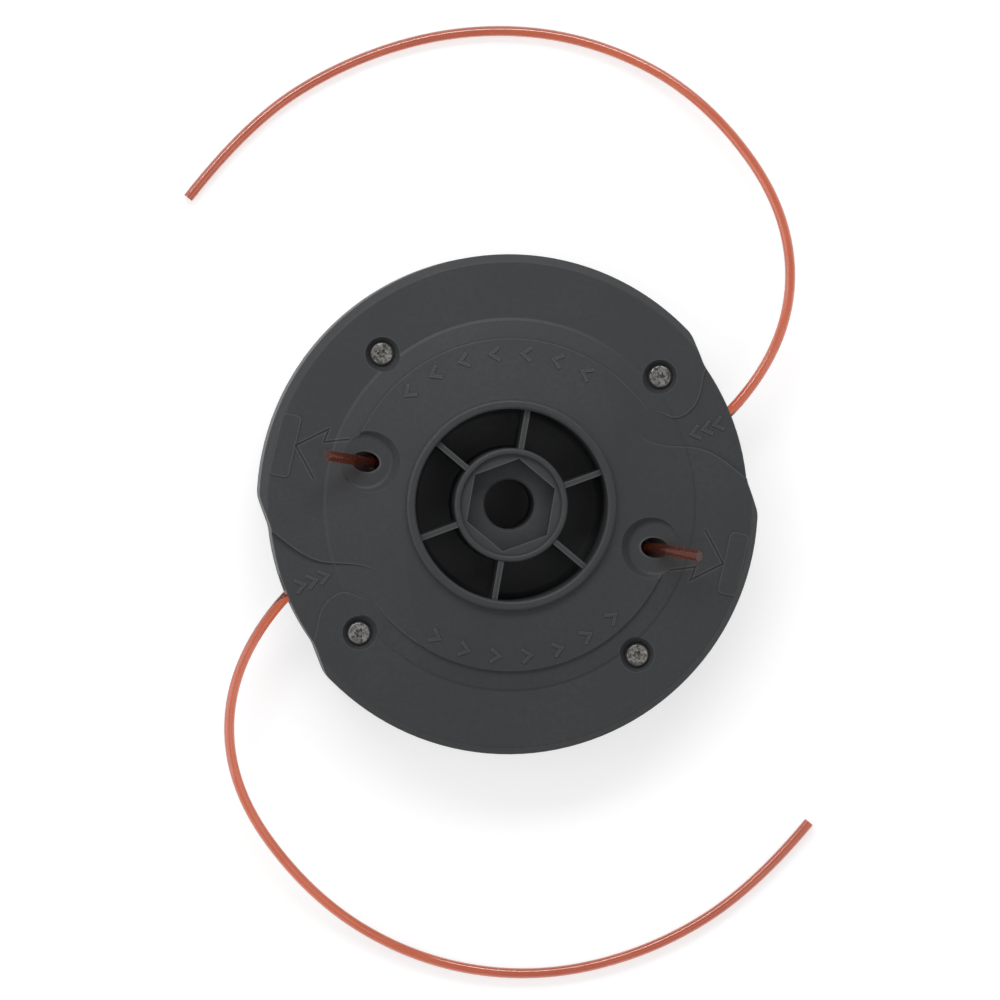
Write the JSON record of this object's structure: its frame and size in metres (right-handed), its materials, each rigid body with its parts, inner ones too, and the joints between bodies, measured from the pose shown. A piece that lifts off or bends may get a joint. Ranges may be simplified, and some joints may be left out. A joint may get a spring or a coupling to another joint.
{
  "type": "fixed line trimmer head",
  "caption": "Round push-through line trimmer head: two screwed plastic shells around an arbor hub with a hex socket, holding cutting lines with sprung toothed cams.",
  "frame": {"origin": "on the arbor axis, at the drive-side face that the head rests on", "axes": "+Z along the arbor axis out of the ground-side face with the hex socket, +X towards the first line mouth, +Y completes the right-handed set"},
  "size_m": [0.1616, 0.2442, 0.0331],
  "materials": {
    "moulded_plastic": "satin moulded nylon with a fine texture",
    "screw_steel": "zinc plated",
    "eyelet_metal": "turned and polished",
    "cam_steel": "sintered and tumbled",
    "spring_steel": "drawn wire",
    "line_nylon": "extruded translucent nylon"
  },
  "bodies": {
    "head": {"ground_cover": "moulded_plastic", "drive_housing": "moulded_plastic", "housing_screws": "screw_steel", "line_eyelet_1": "eyelet_metal", "line_eyelet_2": "eyelet_metal", "cam_pin_1": "screw_steel", "cam_pin_2": "screw_steel", "cam_spring_1": "spring_steel", "cam_spring_2": "spring_steel", "trimmer_line_1": "line_nylon", "trimmer_line_2": "line_nylon"},
    "cam_1": {"grip_cam_1": "cam_steel"},
    "cam_2": {"grip_cam_2": "cam_steel"}
  },
  "joints": [
    {"name": "cam_1_pivot", "type": "hinge", "parent": "head", "child": "cam_1", "pos_m": [-0.00006, 0.03142, 0.0147], "axis": [0, 0, 1], "range_deg": [0, 25], "stiffness_Nm_per_rad": 0.02, "springref_deg": -22.92, "deforming": ["cam_spring_1"]},
    {"name": "cam_2_pivot", "type": "hinge", "parent": "head", "child": "cam_2", "pos_m": [0.00006, -0.03142, 0.0147], "axis": [0, 0, 1], "range_deg": [0, 25], "stiffness_Nm_per_rad": 0.02, "springref_deg": -22.92, "deforming": ["cam_spring_2"]}
  ]
}
